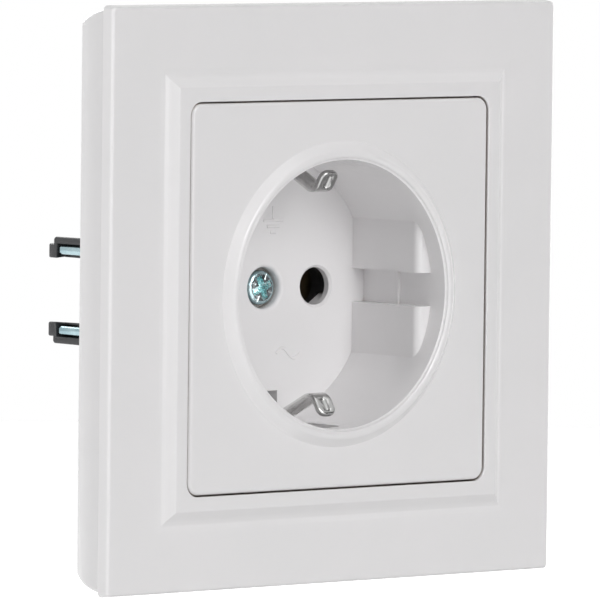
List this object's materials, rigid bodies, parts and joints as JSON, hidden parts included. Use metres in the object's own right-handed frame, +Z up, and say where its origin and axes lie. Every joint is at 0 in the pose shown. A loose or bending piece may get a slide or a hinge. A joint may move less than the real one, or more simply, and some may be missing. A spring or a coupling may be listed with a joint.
{
  "type": "wall socket",
  "caption": "Flush wall socket with a square cover frame, a round recess with side earth clips, a moulded base and spreading claws for a wall box.",
  "frame": {"origin": "centre of the socket on the wall plane, midway between the box screws, at the rear edge of the cover frame", "axes": "+X to the viewer's right, +Y into the wall, +Z up; the socket faces -Y"},
  "size_m": [0.082, 0.0387, 0.082],
  "materials": {
    "white_plastic": "gloss moulded",
    "black_plastic": "satin moulded",
    "zinc_steel": "zinc plated",
    "nickel_strip": "nickel plated",
    "contact_brass": "pressed strip"
  },
  "bodies": {
    "root": {"cover_frame": "white_plastic", "socket_cover": "white_plastic", "cover_screw": "zinc_steel", "mounting_yoke": "zinc_steel", "yoke_rivets": "zinc_steel", "claw_carrier": "black_plastic", "base": "black_plastic", "contact_cover": "black_plastic", "earth_strap": "nickel_strip", "earth_clamp_plate": "zinc_steel", "earth_terminal_screw": "zinc_steel", "live_contact": "contact_brass", "live_clamp_plate": "zinc_steel", "live_terminal_screw": "zinc_steel", "neutral_contact": "contact_brass", "neutral_clamp_plate": "zinc_steel", "neutral_terminal_screw": "zinc_steel", "left_claw_pin": "zinc_steel", "right_claw_pin": "zinc_steel"},
    "left_claw": {"left_claw": "zinc_steel"},
    "left_nut": {"left_claw_nut": "zinc_steel"},
    "left_screw": {"left_claw_screw": "zinc_steel"},
    "right_claw": {"right_claw": "zinc_steel"},
    "right_nut": {"right_claw_nut": "zinc_steel"},
    "right_screw": {"right_claw_screw": "zinc_steel"}
  },
  "joints": [
    {"name": "left_claw_swing", "type": "hinge", "parent": "root", "child": "left_claw", "pos_m": [-0.02375, 0.0054, 0], "axis": [0, 0, 1], "range_deg": [0, 22]},
    {"name": "left_nut_draw", "type": "slide", "parent": "root", "child": "left_nut", "axis": [0, -1, 0], "range_m": [0, 0.00122]},
    {"name": "left_screw_turn", "type": "hinge", "parent": "root", "child": "left_screw", "pos_m": [-0.0269, 0, 0], "axis": [0, 1, 0], "range_deg": [0, 880]},
    {"name": "right_claw_swing", "type": "hinge", "parent": "root", "child": "right_claw", "pos_m": [0.02375, 0.0054, 0], "axis": [0, 0, -1], "range_deg": [0, 22]},
    {"name": "right_nut_draw", "type": "slide", "parent": "root", "child": "right_nut", "axis": [0, -1, 0], "range_m": [0, 0.00122]},
    {"name": "right_screw_turn", "type": "hinge", "parent": "root", "child": "right_screw", "pos_m": [0.0269, 0, 0], "axis": [0, 1, 0], "range_deg": [0, 880]}
  ],
  "couplings": [
    {"joint": "left_nut_draw", "follows": "left_claw_swing", "m_per_rad": 0.00315},
    {"joint": "left_screw_turn", "follows": "left_claw_swing", "ratio": 39.58},
    {"joint": "right_nut_draw", "follows": "right_claw_swing", "m_per_rad": 0.00315},
    {"joint": "right_screw_turn", "follows": "right_claw_swing", "ratio": 39.58}
  ]
}
